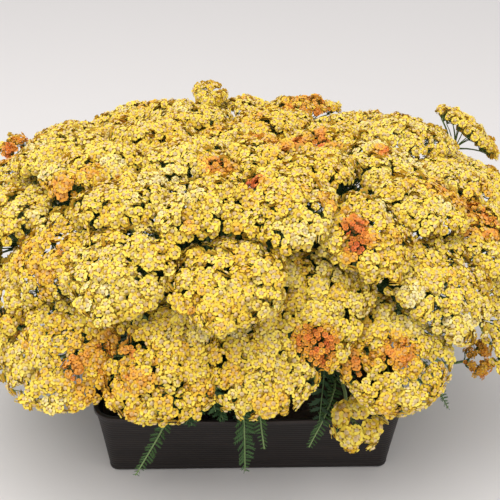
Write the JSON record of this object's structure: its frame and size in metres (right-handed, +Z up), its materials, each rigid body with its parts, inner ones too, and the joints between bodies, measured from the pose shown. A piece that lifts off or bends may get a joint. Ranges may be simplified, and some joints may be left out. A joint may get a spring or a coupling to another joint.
{
  "type": "potted yarrow",
  "caption": "Low tapered trough of soil with flowering yarrow: a dense dome of flat floret heads on thin stems with feathery leaves.",
  "frame": {"origin": "middle of the pot's underside", "axes": "+Z up, +X to the viewer's right along the wide side of the flower dome, -Y towards the viewer"},
  "size_m": [0.6589, 0.5192, 0.3357],
  "materials": {
    "black_plastic": "moulded, slightly glossy, with fine level ridges",
    "soil": "dark crumbly potting soil",
    "foliage": "matt, finely haired leaves and stems",
    "yellow_florets": "matt petals round beige centres",
    "orange_florets": "matt petals round yellow centres"
  },
  "bodies": {
    "root": {"pot": "black_plastic", "soil": "soil", "flower_head_01": "yellow_florets", "flower_head_02": "yellow_florets", "flower_head_03": "yellow_florets", "flower_head_04": "yellow_florets", "flower_head_05": "yellow_florets", "flower_head_06": "yellow_florets", "flower_head_07": "yellow_florets", "flower_head_08": "yellow_florets", "flower_head_09": "yellow_florets", "flower_head_10": "yellow_florets", "flower_head_11": "yellow_florets", "flower_head_12": "yellow_florets", "flower_head_13": "yellow_florets", "flower_head_14": "yellow_florets", "flower_head_15": "yellow_florets", "flower_head_16": "yellow_florets", "flower_head_17": "yellow_florets", "flower_head_18": "yellow_florets", "flower_head_19": "yellow_florets", "flower_head_20": "yellow_florets", "flower_head_21": "yellow_florets", "flower_head_22": "yellow_florets", "flower_head_23": "yellow_florets", "flower_head_24": "yellow_florets", "flower_head_25": "yellow_florets", "flower_head_26": "yellow_florets", "flower_head_27": "yellow_florets", "flower_head_28": "yellow_florets", "flower_head_29": "yellow_florets", "flower_head_30": "yellow_florets", "flower_head_31": "yellow_florets", "flower_head_32": "yellow_florets", "flower_head_33": "yellow_florets", "flower_head_34": "yellow_florets", "flower_head_35": "yellow_florets", "flower_head_36": "yellow_florets", "flower_head_37": "yellow_florets", "flower_head_38": "yellow_florets", "flower_head_39": "yellow_florets", "flower_head_40": "yellow_florets", "flower_head_41": "yellow_florets", "flower_head_42": "yellow_florets", "flower_head_43": "yellow_florets", "flower_head_44": "yellow_florets", "flower_head_45": "yellow_florets", "flower_head_46": "yellow_florets", "flower_head_47": "yellow_florets", "flower_head_48": "yellow_florets", "lone_head": "yellow_florets", "low_left_head": "yellow_florets", "left_orange_head": "orange_florets", "top_small_head": "yellow_florets", "right_side_head": "yellow_florets", "right_bud_head": "orange_florets", "plant_1": "foliage", "plant_2": "foliage", "plant_3": "foliage", "plant_4": "foliage"}
  },
  "joints": []
}
